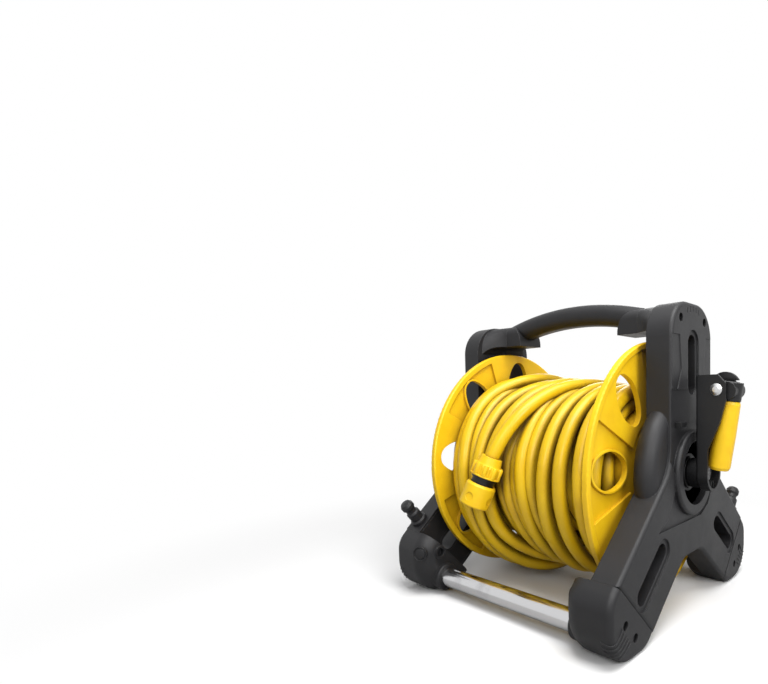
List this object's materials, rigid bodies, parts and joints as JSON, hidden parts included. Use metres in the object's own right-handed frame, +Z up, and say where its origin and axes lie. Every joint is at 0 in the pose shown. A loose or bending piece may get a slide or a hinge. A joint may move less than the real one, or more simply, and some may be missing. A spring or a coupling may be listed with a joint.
{
  "type": "hose reel",
  "caption": "Free-standing carry reel with black moulded side frames, yellow drum flanges, a wound yellow garden hose with a quick connector, an arched carry handle and a folding crank",
  "frame": {"origin": "on the floor under the middle of the drum's axis, at the bottom centre of the whole reel's box", "axes": "+X along the drum's axis to the crank, +Z up, -Y the front that the hose end hangs at"},
  "size_m": [0.4079, 0.3328, 0.3435],
  "materials": {
    "black_plastic": "fine moulded satin",
    "yellow_plastic": "smooth moulded",
    "hose": "smooth soft vinyl",
    "steel_tube": "drawn and polished",
    "steel": "zinc plated",
    "black_steel": "black oxide",
    "grey_plastic": "turned and moulded",
    "seal_rubber": "matt"
  },
  "bodies": {
    "frame": {"left_frame": "black_plastic", "right_frame": "black_plastic", "left_bearing_cover": "black_plastic", "right_bearing_cover": "black_plastic", "front_left_foot": "black_plastic", "front_right_foot": "black_plastic", "rear_left_foot": "black_plastic", "rear_right_foot": "black_plastic", "left_handle_cup": "black_plastic", "right_handle_cup": "black_plastic", "carry_handle": "black_plastic", "left_parking_nipple": "black_plastic", "right_parking_nipple": "black_plastic", "crank_rests": "black_plastic", "left_bush": "black_plastic", "right_bush": "black_plastic", "front_tube": "steel_tube", "rear_tube": "steel_tube", "mast_screws": "black_steel", "foot_screws": "black_steel", "cover_screws": "black_steel", "inlet_nipple": "grey_plastic"},
    "drum": {"left_flange": "yellow_plastic", "right_flange": "yellow_plastic", "drum_core": "yellow_plastic", "outlet_elbow": "grey_plastic", "flange_screws": "black_steel", "drive_shaft": "black_plastic", "water_spindle": "grey_plastic", "spindle_seals": "seal_rubber", "hose_core": "hose", "hose_winding": "hose", "connector_nut": "yellow_plastic", "connector_body": "black_plastic", "crank_arm": "black_plastic", "crank_screw": "steel", "hinge_pin": "steel"},
    "grip_fold": {"grip_knuckle": "black_plastic", "grip_screw": "steel"},
    "grip_spin": {"grip_sleeve": "yellow_plastic"},
    "connector_collar": {"connector_sleeve": "yellow_plastic"}
  },
  "joints": [
    {"name": "drum_turn", "type": "hinge", "parent": "frame", "child": "drum", "pos_m": [0, 0, 0.151], "axis": [1, 0, 0], "continuous": true},
    {"name": "grip_swing", "type": "hinge", "parent": "drum", "child": "grip_fold", "pos_m": [0.1827, 0, 0.238], "axis": [0, -1, 0], "range_deg": [0, 98.9]},
    {"name": "grip_turn", "type": "hinge", "parent": "grip_fold", "child": "grip_spin", "pos_m": [0.1911, 0, 0.23669], "axis": [-0.1547, 0, -0.988], "continuous": true},
    {"name": "sleeve_slide", "type": "slide", "parent": "drum", "child": "connector_collar", "axis": [0.2616, 0.2774, 0.9245], "range_m": [0, 0.005], "stiffness_N_per_m": 600, "springref_m": -0.004}
  ]
}
